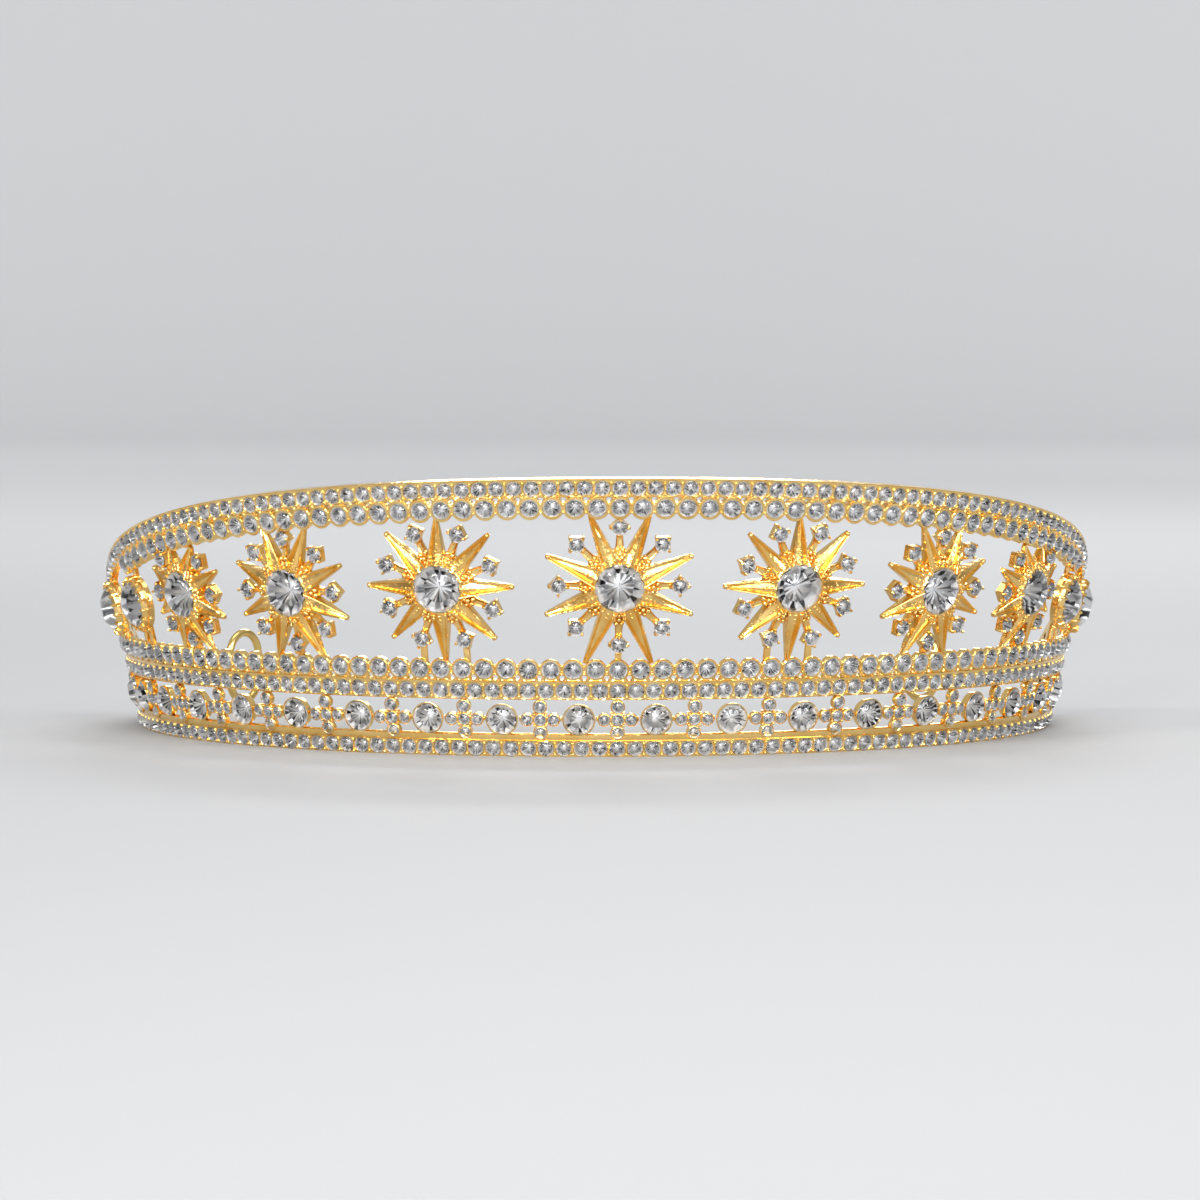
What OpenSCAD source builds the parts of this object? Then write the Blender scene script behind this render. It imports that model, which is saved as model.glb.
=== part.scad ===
// Bridal crown: an open cast band on a flared wall, with seven suns between two double rails,
// a row of crosses and round stones under them, and two wire arms that end in ribbon loops.
// It stands on the flat lower edge of the band. The front faces -Y and +Z is up.

/* [Band] */
// Inner radius of the band at its lower edge
base_r = 71; // [60:0.5:80]
// Lean of the wall, outward to the top
flare = 13; // [5:0.5:20]
// Thickness of the rails
wall = 1.3; // [1:0.1:1.8]
// Slant height of the wall at the front
crest_h = 43.1; // [38:0.1:48]
// Slant height left at each tip
tip_h = 3; // [3:0.1:4]
// Angle from the front to each tip
end_angle = 103.5; // [103:0.5:105]

/* [Rails] */
// Height of the lower rail
low_rail_h = 2.75; // [2.5:0.05:2.85]
// Height of the plain ledge on top of the lower rail
ledge_h = 1; // [0.6:0.1:1.4]
// Thickness of the plain ledge
ledge_t = 1.16; // [1.14:0.01:1.2]
// Lower edge of the middle rail, up the wall
mid_low = 9.1; // [8.5:0.1:10]
// Upper edge of the middle rail, up the wall
mid_high = 15.2; // [14.5:0.1:16]
// Height of the top rail where it has two rows
double_h = 6.2; // [5.8:0.1:6.6]
// Height of the top rail where it has one row
single_h = 2.9; // [2.6:0.1:3.2]

/* [Stones] */
// Diameter of the stones in the suns and the plain rings
big_d = 7.3; // [6:0.1:8]
// Diameter of the round stones between the crosses
round_d = 4.6; // [4:0.1:4.8]
// Diameter of the stones in the scalloped rows
scallop_d = 2.7; // [2.2:0.1:2.8]
// Spacing of the stones in the scalloped rows
scallop_pitch = 3.3; // [3:0.1:3.6]
// Diameter of the small stones round each sun
ray_stone_d = 2.35; // [1.8:0.05:2.5]
// Clear space between a stone and the metal
stone_gap = 0.12; // [0.1:0.01:0.2]

/* [Row of crosses] */
// Angle from a cross to the next round stone
row_step = 4.5; // [4.5]
// Middle of the row, up the wall
row_h = 6; // [5.8:0.1:6.2]
// Width of the bars of a cross
cross_w = 1.3; // [1:0.1:1.6]

/* [Arms] */
// Diameter of the arm's wire
wire_d = 1.3; // [1:0.1:1.5]
// Angle from the front to the middle of the sleeve that holds the arm
sleeve_angle = 98.5; // [97:0.5:99]
// Angle from the front to the middle of the ribbon loop
loop_angle = 128; // [122:1:132]
// Width of the ribbon loop between its wire's centre lines
loop_w = 7.6; // [7:0.1:9]
// Height of the ribbon loop between its wire's centre lines
loop_h = 11.3; // [10:0.1:12]

/* [Hidden] */
$fn = 32;

// The suns on one side, front one first: angle from the front, height up the wall, reach of
// the side rays, and turn of the first ray from straight up
suns = [
    [0, 26.7, 11.8, 22.5],
    [19.8, 26.4, 11.4, 0],
    [38.6, 25.2, 10.7, 22.5],
    [56.2, 24, 9.4, 22.5],
];
// The plain rings on one side: angle from the front and height up the wall
rings = [
    [69.3, 21.6],
    [81.5, 20],
];
rays = 8;
ray_turn = 360 / rays;
round_last = 21;
cross_last = 22;
single_from = 80;
double_to = 74;
plate_from = 88;
mid_end = 100.2;
top_end = end_angle - 0.8;
top_bow = 2.2;
top_drop = 0.55;

// Distances of the faces of each kind of piece out of the wall's inner face
star_back = 0.3;
plate_back = 0.2;
bar_back = 0.26;
post_back = 0.32;
stem_back = 0.4;
seat_front = 1.1;
hub_front = 2.3;
tip_front = 0.9;
ring_front = 2;
ring_r = big_d / 2 + 0.8;
rim_r = big_d / 2 + 0.15;
well_r = 1;
ray_w = 2.5;
post_w = 1.15;
seat_w = 2.5;
ray_seat_front = 1.6;
star_front = 1.1;
bar_front = 0.8;
post_front = 0.86;
stem_front = 1;
merge = 0.5;
hair = 0.04;
ledge_drop = 0.1;
mid_back = 0.22;
mid_front = wall - 0.12;
top_back = 0.1;
top_front = wall + 0.12;

// A sleeve bridges the gap between the row of crosses and the middle rail
sleeve_h = (row_h + mid_low) / 2 + 0.45;
sleeve_depth = 1.1;
sleeve_size = [5, 3.2, 2.8];
sleeve_front = 0.5;
wire_clear = 0.2;
arm_r = base_r + sleeve_h * sin(flare) - sleeve_depth * cos(flare);
arm_z = sleeve_h * cos(flare) + sleeve_depth * sin(flare);
loop_z = (loop_h + wire_d) / 2 + 0.05;
loop_bend = loop_w / 2;
loop_side = loop_h - loop_w;

// The crown's axis lies behind the middle of its length from front to back
front_y = base_r + crest_h * sin(flare) + top_front * cos(flare);
back_y = -arm_r * cos(loop_angle) + loop_w / 2 * sin(loop_angle) + wire_d / 2;
axis_y = (front_y - back_y) / 2;

// A point on the wall: th is the angle from the front, h the height up the wall and d the
// distance out of its inner face
function on_wall(th, h, d) =
    let (r = base_r + h * sin(flare) + d * cos(flare))
    [r * sin(th), -r * cos(th), h * cos(flare) - d * sin(flare)];

// Slant height of the band's top edge
function top_edge(th) =
    tip_h + (crest_h - tip_h) * pow(max(0, 1 - pow(abs(th) / end_angle, top_bow)), top_drop);

function clamp01(x) = min(1, max(0, x));

// Height of the top rail, which goes from two rows to one near the last ring
function top_rail_h(th) =
    single_h + (double_h - single_h)
        * clamp01((single_from - abs(th)) / (single_from - double_to));

// Lower edge of the top rail, which becomes a closed plate near the tips
function top_rail_low(th) =
    abs(th) < plate_from
        ? top_edge(th) - top_rail_h(th)
        : max(low_rail_h / 2, min(mid_high - merge, top_edge(th) - single_h));

// Angle that a length takes up along the wall at a height
function arc_angle(length, h) = length / (base_r + h * sin(flare)) * 180 / PI;

function mirrored(rows) =
    concat([for (i = [len(rows) - 1:-1:0]) if (rows[i][0] > 0) [-1, rows[i]]],
           [for (row = rows) [1, row]]);

sun_list = mirrored(suns);
ring_list = mirrored(rings);
row_angles = [for (k = [-round_last:2:round_last]) k * row_step];
cross_angles = [for (k = [-cross_last:2:cross_last]) k * row_step];
top_scallop_h = 4.4;
mid_scallop_h = 13.7;
mid_scallop_last = 80;
top_scallop_step = arc_angle(scallop_pitch, crest_h - top_scallop_h);
mid_scallop_step = arc_angle(scallop_pitch, mid_scallop_h);
top_scallop_n = floor((double_to - 0.5) / top_scallop_step);
mid_scallop_n = floor(mid_scallop_last / mid_scallop_step);

// Puts a flat piece on the wall: its X runs along the wall, its Y up it and its Z out of it
module on_wall_at(th, h, d = 0) {
    translate(on_wall(th, h, d)) rotate([0, 0, th]) rotate([90 + flare, 0, 0]) children();
}

module place() {
    translate([0, axis_y, 0]) children();
}

// A strip swept round the wall. The section gives its corners as [h, d] at an angle. It also
// gets 0 or a hair by turns, and lifts its corners by that, so that no two facets share a plane
module swept(last_angle, section) {
    sides = len(section(0, 0));
    steps = 2 * ceil(last_angle / row_step);
    angle_at = function(i) last_angle * (2 * i / steps - 1);
    corners = [for (i = [0:steps], p = section(angle_at(i), hair * (i % 2)))
        on_wall(angle_at(i), p[0], p[1])];
    around = [for (i = [0:steps - 1], k = [0:sides - 1])
        let (a = i * sides + k, b = i * sides + (k + 1) % sides)
        each [[a, b, b + sides], [a, b + sides, a + sides]]];
    first = [for (k = [sides - 1:-1:0]) k];
    last = [for (k = [0:sides - 1]) steps * sides + k];
    polyhedron(points = corners, faces = concat(around, [first, last]));
}

module lower_rail() {
    swept(end_angle, function(th, lift)
        let (high = min(low_rail_h + ledge_h, top_edge(th) - ledge_drop))
        [[0, 0], [wall * tan(flare), wall], [low_rail_h, wall], [low_rail_h, ledge_t],
         [high + lift, ledge_t], [high + hair - lift, 0]]);
}

module middle_rail() {
    swept(mid_end, function(th, lift)
        let (low = mid_low, high = min(mid_high, top_edge(th) - merge))
        [[low + lift, mid_back], [low + hair - lift, mid_front],
         [high + lift, mid_front], [high + hair - lift, mid_back]]);
}

module top_rail() {
    swept(top_end, function(th, lift)
        let (low = top_rail_low(th), high = top_edge(th))
        [[low + lift, top_back], [low + hair - lift, top_front],
         [high, top_front], [high, top_back]]);
}

// A flat bar between two heights at one angle
module post(th, low, high, width) {
    on_wall_at(th, (low + high) / 2)
        translate([-width / 2, -(high - low) / 2, post_back])
            cube([width, high - low, post_front - post_back]);
}

// Upright crosses stand between the rails, and their arms run into the seats of the round stones
module crosses() {
    to_seat = row_step * PI / 180 * (base_r + row_h * sin(flare));
    for (th = cross_angles) {
        post(th, low_rail_h + ledge_h / 2, mid_low + merge, cross_w);
        on_wall_at(th, row_h, bar_back)
            translate([0, 0, (bar_front - bar_back) / 2])
                cube([2 * (to_seat - round_d / 2), cross_w, bar_front - bar_back], center = true);
    }
}

module round_seats() {
    for (th = row_angles)
        on_wall_at(th, row_h)
            translate([0, 0, plate_back])
                rotate([0, 0, 22.5])
                    cylinder(r = round_d / 2 + 0.55, h = seat_front - plate_back, $fn = 8);
}

// A point of a flat piece at a distance from its middle and a turn from straight up
function polar(r, turn, d) = [r * sin(turn), r * cos(turn), d];

// The star of a sun with the tapered hole for its stone. Each ray has a flat back and a ridge
// that falls from the stone's rim to the tip
module star(row) {
    hub_r = hub_radius(row);
    root = asin(ray_w / 2 / hub_r);
    turns = [for (k = [0:rays - 1]) row[3] + k * ray_turn];
    outline = function(front, tip_front) [for (turn = turns) each [
        polar(hub_r, turn - root, front),
        polar(ray_reach(row, turn), turn, tip_front),
        polar(hub_r, turn + root, front)]];
    rim = function(r, d) [for (turn = turns) each
        [polar(r, turn, d), polar(r, turn + ray_turn / 2, d)]];
    n = 3 * rays;
    m = 2 * rays;
    o = function(k) (k + n) % n;
    i = function(k) 2 * n + (k + m) % m;
    top = [for (k = [0:rays - 1]) each [
        [i(2 * k), o(3 * k), o(3 * k + 1)],
        [i(2 * k), o(3 * k + 1), o(3 * k + 2)],
        [i(2 * k), o(3 * k + 2), i(2 * k + 1)],
        [i(2 * k + 1), o(3 * k + 2), o(3 * k + 3)],
        [i(2 * k + 1), o(3 * k + 3), i(2 * k + 2)]]];
    under = function(k) k < n ? k + n : k + m;
    back = [for (face = top) [under(face[0]), under(face[2]), under(face[1])]];
    edge = [for (k = [0:n - 1]) each
        [[o(k), under(o(k)), under(o(k + 1))], [o(k), under(o(k + 1)), o(k + 1)]]];
    hole = [for (k = [0:m - 1]) each
        [[i(k), under(i(k + 1)), under(i(k))], [i(k), i(k + 1), under(i(k + 1))]]];
    polyhedron(
        points = concat(outline(star_front, tip_front), outline(star_back, star_back),
                        rim(rim_r, hub_front), rim(well_r, star_back)),
        faces = [for (face = concat(top, back, edge, hole)) [face[0], face[1], face[2]]]);
}

// A stem with the square seat of one small stone
module stem(hub_r, seat) {
    stem_w = 1.2;
    hull() {
        translate([-stem_w / 2, hub_r - 0.8, stem_back])
            cube([stem_w, 0.5, stem_front - stem_back]);
        translate([-stem_w / 2, seat, stem_back])
            cube([stem_w, 0.5, stem_front - stem_back]);
    }
    translate([-seat_w / 2, seat - seat_w / 2, plate_back])
        cube([seat_w, seat_w, ray_seat_front - plate_back]);
}

// Radius of a sun's body between its rays
function hub_radius(sun) = sun[2] * 0.46;

// Distance from the middle of a sun to its small stones
function seat_reach(sun) = sun[2] * 0.765;

// The way from a sun's middle to the rail that a ray runs into, measured along the ray
function rail_reach(sun, turn) =
    let (up = top_rail_low(sun[0]) - sun[1], down = sun[1] - mid_high, lean = abs(cos(turn)))
    ((cos(turn) > 0 ? up : down) + merge) / lean;

// The rays near the upright run on into the rails, and the others stand free
function ray_reach(sun, turn) = abs(cos(turn)) > 0.9 ? rail_reach(sun, turn) : sun[2];

// The turns of a sun's small stones. Where the wall is low, the top one gives way to the rail
function stone_turns(sun) = [
    for (k = [0:rays - 1])
        let (turn = sun[3] + (k + 0.5) * ray_turn)
            if (cos(turn) < 0.9
                || top_rail_low(sun[0]) - sun[1] > seat_reach(sun) + ray_stone_d / 4) turn
];

module sun(row) {
    star(row);
    for (turn = stone_turns(row))
        rotate([0, 0, -turn]) stem(hub_radius(row), seat_reach(row));
}

// Small posts tie a sun's lowest stone seats to the middle rail
module sun_posts(row) {
    for (turn = stone_turns(row))
        if (cos(turn) < -0.9) {
            top = -cos(turn) * seat_reach(row);
            side = sin(turn) * seat_reach(row);
            bottom = row[1] - mid_high + merge;
            translate([side - post_w / 2, -bottom, post_back])
                cube([post_w, bottom - top, post_front - post_back]);
        }
}

// A plain round setting with a tapered hole
module ring() {
    difference() {
        translate([0, 0, plate_back])
            cylinder(r = ring_r, h = ring_front - plate_back, $fn = 12);
        well(big_d, big_depth, ring_girdle, 12);
    }
}

module ring_posts(side, row) {
    th = side * row[0];
    edge = ring_r - 0.4;
    post(th, row[1] + edge, top_rail_low(th) + merge, post_w);
    for (shift = [-1, 1])
        post(th + shift, mid_high - merge, row[1] - edge, 1);
}

// The block that the arm's wire is crimped in, on the inner face of each end
module sleeve(side) {
    on_wall_at(side * sleeve_angle, sleeve_h, sleeve_front - sleeve_size[2] / 2)
        cube(sleeve_size, center = true);
}

module sleeve_bore(side) {
    on_wall_at(side * sleeve_angle, sleeve_h, -sleeve_depth)
        rotate([0, 90, 0])
            cylinder(r = wire_d / 2 + wire_clear, h = sleeve_size[0] + 2, center = true, $fn = 8);
}

// The tapered hole behind a stone, which is the stone's own back drawn a little larger
module well(d, depth, girdle, sides) {
    slope = depth / (d / 2);
    r_top = d / 2 + stone_gap * 1.8;
    over = 0.4;
    rotate([0, 0, 180 / sides])
        translate([0, 0, girdle - slope * r_top])
            cylinder(r1 = 0.01, r2 = r_top + over / slope, h = slope * r_top + over, $fn = sides);
}

big_depth = 2.5;
sun_girdle = hub_front + stone_gap;
ring_girdle = ring_front + stone_gap;
round_depth = 1.2;
round_girdle = seat_front + stone_gap;

module wells() {
    for (th = row_angles)
        on_wall_at(th, row_h) well(round_d, round_depth, round_girdle, 8);
}

module band() {
    color("goldenrod") place() difference() {
        union() {
            lower_rail();
            middle_rail();
            top_rail();
            crosses();
            round_seats();
            for (item = sun_list)
                on_wall_at(item[0] * item[1][0], item[1][1]) {
                    sun(item[1]);
                    sun_posts(item[1]);
                }
            for (item = ring_list) {
                on_wall_at(item[0] * item[1][0], item[1][1]) ring();
                ring_posts(item[0], item[1]);
            }
            for (side = [-1, 1]) sleeve(side);
        }
        wells();
        for (side = [-1, 1]) sleeve_bore(side);
    }
}

// A brilliant with a table, a ring of crown facets, a thin girdle and a pointed back
module cut_stone(d, crown, depth, sides) {
    r = d / 2;
    girdle_t = 0.2;
    table_r = r * 0.58;
    ring_at = function(radius, z) [for (k = [0:sides - 1])
        [radius * cos((k + 0.5) * 360 / sides), radius * sin((k + 0.5) * 360 / sides), z]];
    next = function(k) (k + 1) % sides;
    polyhedron(
        points = concat(ring_at(r, 0), ring_at(r, girdle_t), ring_at(table_r, girdle_t + crown),
                        [[0, 0, -depth]]),
        faces = concat(
            [for (k = [0:sides - 1]) [3 * sides, k, next(k)]],
            [for (k = [0:sides - 1]) [k, sides + k, sides + next(k), next(k)]],
            [for (k = [0:sides - 1])
                [sides + k, 2 * sides + k, 2 * sides + next(k), sides + next(k)]],
            [[for (k = [sides - 1:-1:0]) 2 * sides + k]]));
}

// A small stone with a table, eight crown facets and a flat back
module small_stone(d) {
    sides = 8;
    r = d / 2;
    height = d * 0.28;
    ring_at = function(radius, z) [for (k = [0:sides - 1])
        [radius * cos((k + 0.5) * 360 / sides), radius * sin((k + 0.5) * 360 / sides), z]];
    polyhedron(
        points = concat(ring_at(r, 0), ring_at(r * 0.58, height)),
        faces = concat(
            [[for (k = [0:sides - 1]) k]],
            [for (k = [0:sides - 1])
                [k, sides + k, sides + (k + 1) % sides, (k + 1) % sides]],
            [[for (k = [sides - 1:-1:0]) sides + k]]));
}

module sun_stone(i) {
    item = sun_list[i - 1];
    color("white") place() on_wall_at(item[0] * item[1][0], item[1][1], sun_girdle)
        cut_stone(big_d, 1.3, big_depth, 12);
}

module ring_stone(i) {
    item = ring_list[i - 1];
    color("white") place() on_wall_at(item[0] * item[1][0], item[1][1], ring_girdle)
        cut_stone(big_d, 1.3, big_depth, 12);
}

module round_stone(i) {
    color("white") place() on_wall_at(row_angles[i - 1], row_h, round_girdle)
        cut_stone(round_d, 0.85, round_depth, 8);
}

module ray_stones() {
    color("white") place()
        for (item = sun_list)
            on_wall_at(item[0] * item[1][0], item[1][1], ray_seat_front + stone_gap)
                for (turn = stone_turns(item[1]))
                    rotate([0, 0, -turn])
                        translate([0, seat_reach(item[1]), 0]) small_stone(ray_stone_d);
}

// The stone beside the upper seat of each outer sun sits a little higher, clear of the seat
beside_seat = 25;
beside_lift = 0.4;

module top_scallop_stones() {
    color("white") place()
        for (k = [-top_scallop_n:top_scallop_n]) {
            th = k * top_scallop_step;
            lift = abs(k) == beside_seat ? beside_lift : 0;
            on_wall_at(th, top_edge(th) - top_scallop_h + lift, top_front + stone_gap)
                small_stone(scallop_d);
        }
}

module middle_scallop_stones() {
    color("white") place()
        for (k = [-mid_scallop_n:mid_scallop_n])
            on_wall_at(k * mid_scallop_step, mid_scallop_h, mid_front + stone_gap)
                small_stone(scallop_d);
}

// The wire follows the band's circle from the sleeve to the loop, which stands upright
module arm(side) {
    start = sleeve_angle - arc_angle(sleeve_size[0] / 2, 0);
    finish = loop_angle - arc_angle(loop_bend, 0);
    color("darkgoldenrod") place() scale_side(side) union() {
        translate([0, 0, arm_z])
            rotate([0, 0, start - 90])
                rotate_extrude(angle = finish - start)
                    translate([arm_r, 0]) circle(d = wire_d);
        rotate([0, 0, loop_angle])
            translate([0, -arm_r, loop_z])
                rotate([90, 0, 0]) ribbon_loop();
    }
}

module scale_side(side) {
    if (side < 0) mirror([1, 0, 0]) children();
    else children();
}

module ribbon_loop() {
    for (end = [0, 1])
        rotate([0, 0, 180 * end])
            translate([0, loop_side / 2, 0])
                rotate_extrude(angle = 180) translate([loop_bend, 0]) circle(d = wire_d);
    for (x = [-loop_bend, loop_bend])
        translate([x, 0, 0])
            rotate([90, 0, 0]) cylinder(d = wire_d, h = loop_side, center = true);
}

module arm_left() {
    arm(-1);
}

module arm_right() {
    arm(1);
}

band();
arm_left();
arm_right();
ray_stones();
top_scallop_stones();
middle_scallop_stones();
for (i = [1:len(sun_list)])
    sun_stone(i);
for (i = [1:len(ring_list)])
    ring_stone(i);
for (i = [1:len(row_angles)])
    round_stone(i);
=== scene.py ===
import math
import random

import bmesh
import bpy
import numpy as np
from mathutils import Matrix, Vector
from mathutils.geometry import tessellate_polygon


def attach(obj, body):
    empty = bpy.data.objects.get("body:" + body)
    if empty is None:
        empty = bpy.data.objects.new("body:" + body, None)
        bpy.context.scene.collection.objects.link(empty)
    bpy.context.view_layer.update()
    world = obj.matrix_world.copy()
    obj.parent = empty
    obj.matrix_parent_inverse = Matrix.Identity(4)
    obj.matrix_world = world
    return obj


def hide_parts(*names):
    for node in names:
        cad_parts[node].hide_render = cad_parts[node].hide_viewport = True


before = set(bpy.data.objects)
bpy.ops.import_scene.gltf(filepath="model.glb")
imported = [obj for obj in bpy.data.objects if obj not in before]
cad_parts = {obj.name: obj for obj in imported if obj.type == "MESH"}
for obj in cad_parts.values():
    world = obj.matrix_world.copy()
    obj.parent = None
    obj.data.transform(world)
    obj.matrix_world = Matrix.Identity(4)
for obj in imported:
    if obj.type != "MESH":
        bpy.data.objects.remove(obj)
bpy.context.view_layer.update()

# Sizes in millimetres and angles in degrees, as in the solids. A height is measured up the leaning
# wall from its lower edge, and a depth outward from its inner face. In the functions, th is an angle
# round the wall in radians.
BASE_R, FLARE, WALL = 71.0, math.radians(13), 1.3   # inner radius below, lean and thickness
CREST, TIP, END = 43.1, 3.0, 103.5                  # height at the front and at the tips, tips' angle
BOW, DROP = 2.2, 0.55                               # form of the top edge between them
TOP_BACK, TOP_STRIP, TOP_FRONT = 0.1, 1.2, 1.42     # depths of the top rail
TWO_ROWS, ONE_ROW, ONE_ROW_FROM = 6.2, 2.9, 77      # its width, which narrows at this angle
MID_BACK, MID_FRONT = 0.22, 1.18                    # depths of the middle rail
MID_LOW, MID_HIGH = 9.1, 15.2                       # heights of its edges
ROW_H, ROW_STEP, LAST_CROSS = 6.0, 4.5, 22          # crosses and round stones, in turn
BIG, ROUND, SCALLOP, SMALL = 7.3, 4.6, 2.7, 2.35    # stone diameters
FLUSH_GAP, SCALLOP_PITCH = 0.27, 3.3
TOP_CUPS_DROP, MID_CUPS_H = 4.4, 13.7               # where the scalloped rows run
ARM_DEPTH, WIRE = 1.1, 1.3
SLEEVE_AT, LOOP_AT, LOOP_W, LOOP_H = 98.5, 128.0, 7.6, 11.3
SLEEVE_H = (ROW_H + MID_LOW) / 2 + 0.45
SIN, COS = math.sin(FLARE), math.cos(FLARE)
ARM_R = BASE_R + SLEEVE_H * SIN - ARM_DEPTH * COS
ARM_Z = SLEEVE_H * COS + ARM_DEPTH * SIN
LOOP_Z = (LOOP_H + WIRE) / 2 + 0.05
FRONT_Y = BASE_R + CREST * SIN + TOP_FRONT * COS
LOOP_TURN = math.radians(LOOP_AT)
BACK_Y = -ARM_R * math.cos(LOOP_TURN) + LOOP_W / 2 * math.sin(LOOP_TURN) + WIRE / 2
AXIS_Y = (FRONT_Y - BACK_Y) / 2
APEX = BASE_R / SIN

# Suns and rings of one side: angle, height, and for a sun also its reach and its first ray's turn
SUNS = [(0, 26.7, 11.8, 22.5), (19.8, 26.4, 11.4, 0), (38.6, 25.2, 10.7, 22.5), (56.2, 24, 9.4, 22.5)]
RINGS = [(69.3, 21.6), (81.5, 20)]
MM = 0.001

rnd = random.Random(7)


def both_sides(rows):
    return [(-r[0], *r[1:]) for r in reversed(rows) if r[0] > 0] + list(rows)


# The wall and its unrolled plane

def wall_point(th, h, d):
    r = BASE_R + h * SIN + d * COS
    return np.stack([r * np.sin(th), AXIS_Y - r * np.cos(th), h * COS - d * SIN], -1)


def unroll(th, h):
    """Place of a wall point on the wall's inner face laid out flat."""
    a = th * SIN
    return np.stack([(h + APEX) * np.sin(a), (h + APEX) * np.cos(a) - APEX], -1)


def angle_height(xy):
    x, y = xy[..., 0], xy[..., 1] + APEX
    return np.arctan2(x, y) / SIN, np.hypot(x, y) - APEX


def roll(xy, d):
    return wall_point(*angle_height(xy), d)


def top_edge(deg):
    return TIP + (CREST - TIP) * np.maximum(0, 1 - (np.abs(deg) / END) ** BOW) ** DROP


def slope(deg):
    """Steepness of the top edge, from its fall over a small step."""
    step = 0.5
    run = math.radians(step) * (BASE_R + top_edge(deg) * SIN)
    return math.atan2(top_edge(deg) - top_edge(deg + step), run)


class Rigid:
    """Places a piece as one flat thing on the wall: x along it, y up it and z out of it."""

    def __init__(self, th, h, turn=0.0):
        s, c = math.sin(th), math.cos(th)
        self.axes = np.array([[c, s, 0], [SIN * s, -SIN * c, COS], [COS * s, -COS * c, -SIN]])
        self.origin = wall_point(th, h, 0.0)
        self.turn = turn

    def __call__(self, p):
        c, s = math.cos(self.turn), math.sin(self.turn)
        x, y = p[:, 0] * c + p[:, 1] * s, p[:, 1] * c - p[:, 0] * s
        return self.origin + np.stack([x, y, p[:, 2]], -1) @ self.axes


class Path:
    """A curve on the wall, measured by its length from the front.

    A bent place on it follows the curve and the wall, and a rigid one stays flat.
    """

    def __init__(self, height, last, drop=0.0):
        deg = np.linspace(-last, last, 1601)
        xy = unroll(np.radians(deg), height(deg))
        t = np.gradient(xy, axis=0)
        t /= np.linalg.norm(t, axis=1)[:, None]
        xy = xy - drop * np.stack([-t[:, 1], t[:, 0]], -1)
        s = np.concatenate([[0], np.cumsum(np.linalg.norm(np.diff(xy, axis=0), axis=1))])
        self.half = s[-1] / 2
        self.s, self.xy, self.t = s - self.half, xy, t

    def look(self, s):
        xy = np.stack([np.interp(s, self.s, self.xy[:, i]) for i in (0, 1)], -1)
        t = np.stack([np.interp(s, self.s, self.t[:, i]) for i in (0, 1)], -1)
        return xy, t / np.linalg.norm(t, axis=-1, keepdims=True)

    def angle(self, s):
        return math.degrees(angle_height(self.look(s)[0])[0])

    def length(self, deg):
        return float(np.interp(deg, np.degrees(angle_height(self.xy)[0]), self.s))

    def bent(self, s0):
        def place(p):
            xy, t = self.look(s0 + p[:, 0])
            normal = np.stack([-t[:, 1], t[:, 0]], -1)
            return roll(xy + normal * p[:, 1:2], p[:, 2])
        return place

    def rigid(self, s0):
        xy, t = self.look(s0)
        th, h = angle_height(xy)
        s, c = math.sin(th * SIN), math.cos(th * SIN)
        return Rigid(th, h, -math.atan2(t[0] * s + t[1] * c, t[0] * c - t[1] * s))


# Mesh templates: points, corner numbers, corners of each face and material of each face

def shape(points, faces, mats=None):
    return (np.array(points, float), np.array([i for f in faces for i in f]),
            np.array([len(f) for f in faces]), np.array(mats or [0] * len(faces)))


def moved(piece, at=(0, 0, 0), turn=0.0):
    p, loops, sizes, mats = piece
    c, s = math.cos(turn), math.sin(turn)
    q = np.stack([p[:, 0] * c - p[:, 1] * s, p[:, 0] * s + p[:, 1] * c, p[:, 2]], -1)
    return q + np.array(at, float), loops, sizes, mats


def circle(radius, z, n, shift=0):
    """A level ring of n points. A shift of 1 turns it by one point."""
    return [(radius * math.cos(math.tau * (k + shift) / n),
             radius * math.sin(math.tau * (k + shift) / n), z) for k in range(n)]


def bridge(a, b, n):
    """Quads between two rings of n points that start at a and b."""
    return [(a + k, a + (k + 1) % n, b + (k + 1) % n, b + k) for k in range(n)]


def bridges(rows, n):
    """Quads between all the neighbours of a stack of rings."""
    return [quad for i in range(rows - 1) for quad in bridge(i * n, (i + 1) * n, n)]


def lathe(profile, n):
    """Turns a closed profile of (radius, depth) round z, which makes a ring."""
    rows = len(profile)
    return shape([p for r, z in profile for p in circle(r, z, n)],
                 bridges(rows, n) + bridge((rows - 1) * n, 0, n))


def loft(rings):
    """Joins rings of the same number of points, with a cap at both ends."""
    n, rows = len(rings[0]), len(rings)
    caps = [tuple(range(n))[::-1], tuple((rows - 1) * n + k for k in range(n))]
    return shape([p for ring in rings for p in ring], bridges(rows, n) + caps)


def inset(outline, by):
    """Moves each corner of an outline inward along its bisector."""
    p = np.array(outline, float)
    a, b = p - np.roll(p, 1, 0), np.roll(p, -1, 0) - p
    a /= np.linalg.norm(a, axis=1)[:, None]
    b /= np.linalg.norm(b, axis=1)[:, None]
    na, nb = np.stack([-a[:, 1], a[:, 0]], -1), np.stack([-b[:, 1], b[:, 0]], -1)
    m = na + nb
    m /= np.maximum(0.35, (m * na).sum(1))[:, None]
    return p + m * by


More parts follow.
